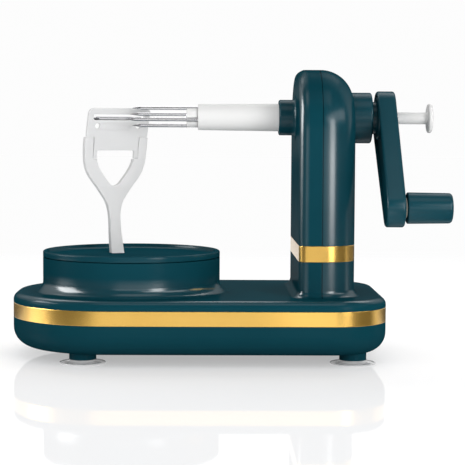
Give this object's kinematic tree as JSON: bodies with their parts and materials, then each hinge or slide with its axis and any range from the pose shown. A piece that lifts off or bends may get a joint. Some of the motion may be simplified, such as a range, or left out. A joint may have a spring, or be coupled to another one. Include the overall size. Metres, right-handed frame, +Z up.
{
  "type": "fruit_peeler",
  "caption": "Table-top crank fruit peeler: base with a turntable, spring-loaded peeling arm, fork on a hand crank in an arched pillar, ejector push rod and suction feet",
  "frame": {"origin": "on the table, under the middle of the overall box", "axes": "+X along the fork axis towards the crank, -Y towards the viewer of the picture, +Z up"},
  "size_m": [0.2645, 0.1346, 0.1763],
  "materials": {
    "teal_plastic": "glossy dark teal ABS",
    "gold_trim": "smooth gold-plated trim",
    "white_plastic": "satin white POM",
    "grey_plastic": "satin light grey ABS",
    "nylon": "natural nylon",
    "screw_steel": "zinc-plated steel",
    "fork_steel": "polished stainless steel",
    "blade_steel": "ground stainless blade",
    "clear_rubber": "clear soft PVC"
  },
  "bodies": {
    "frame": {"base_upper": "teal_plastic", "base_lower": "teal_plastic", "base_band": "gold_trim", "base_screws": "screw_steel", "pillar_left": "teal_plastic", "pillar_right": "teal_plastic", "pillar_band": "gold_trim", "pillar_screws": "screw_steel", "pillar_dowels": "screw_steel", "bush_left": "nylon", "bush_right": "nylon", "thrust_washer": "nylon", "glide_ring": "nylon", "cup_front_left": "clear_rubber", "cup_front_right": "clear_rubber", "cup_back_left": "clear_rubber", "cup_back_right": "clear_rubber", "base_drum": "teal_plastic", "pillar_foot": "teal_plastic", "pillar_boss": "teal_plastic", "pillar_hub": "teal_plastic"},
    "crank": {"crank_arm": "teal_plastic", "drive_shaft": "screw_steel", "retaining_ring": "screw_steel", "fork_tube": "white_plastic", "prong_holder": "white_plastic", "prong_top": "fork_steel", "prong_back": "fork_steel", "prong_bottom": "fork_steel", "prong_front": "fork_steel", "crank_pin": "screw_steel", "grip_spindle": "screw_steel", "grip_washer": "nylon", "return_spring": "screw_steel"},
    "grip": {"grip": "teal_plastic"},
    "ejector": {"ejector_block": "white_plastic", "ejector_rod": "fork_steel", "ejector_button": "white_plastic"},
    "turntable": {"turntable": "teal_plastic", "turntable_washer": "screw_steel", "turntable_screw": "screw_steel", "peeler_pin": "screw_steel", "torsion_spring": "screw_steel"},
    "peeler": {"peeler_handle": "grey_plastic", "blade_carrier": "grey_plastic"},
    "blade": {"blade": "blade_steel", "blade_pivots": "blade_steel"}
  },
  "joints": [
    {"name": "crank_turn", "type": "hinge", "parent": "frame", "child": "crank", "pos_m": [0, 0, 0.1471], "axis": [1, 0, 0], "continuous": true},
    {"name": "grip_spin", "type": "hinge", "parent": "crank", "child": "grip", "pos_m": [0.1183, -0.05339, 0.09371], "axis": [1, 0, 0], "continuous": true},
    {"name": "ejector_push", "type": "slide", "parent": "crank", "child": "ejector", "axis": [-1, 0, 0], "range_m": [0, 0.016], "stiffness_N_per_m": 150, "springref_m": -0.005, "deforming": ["return_spring"]},
    {"name": "turntable_turn", "type": "hinge", "parent": "frame", "child": "turntable", "pos_m": [-0.05995, 0, 0.05], "axis": [0, 0, 1], "range_deg": [-12, 95]},
    {"name": "peeler_tilt", "type": "hinge", "parent": "turntable", "child": "peeler", "pos_m": [-0.06948, 0.01152, 0.0565], "axis": [-0.9511, -0.309, 0], "range_deg": [0, 28], "stiffness_Nm_per_rad": 0.05, "springref_deg": -28.65},
    {"name": "blade_swivel", "type": "hinge", "parent": "peeler", "child": "blade", "pos_m": [-0.06883, 0.00954, 0.14605], "axis": [0.9511, 0.309, 0], "range_deg": [-20, 20]}
  ]
}
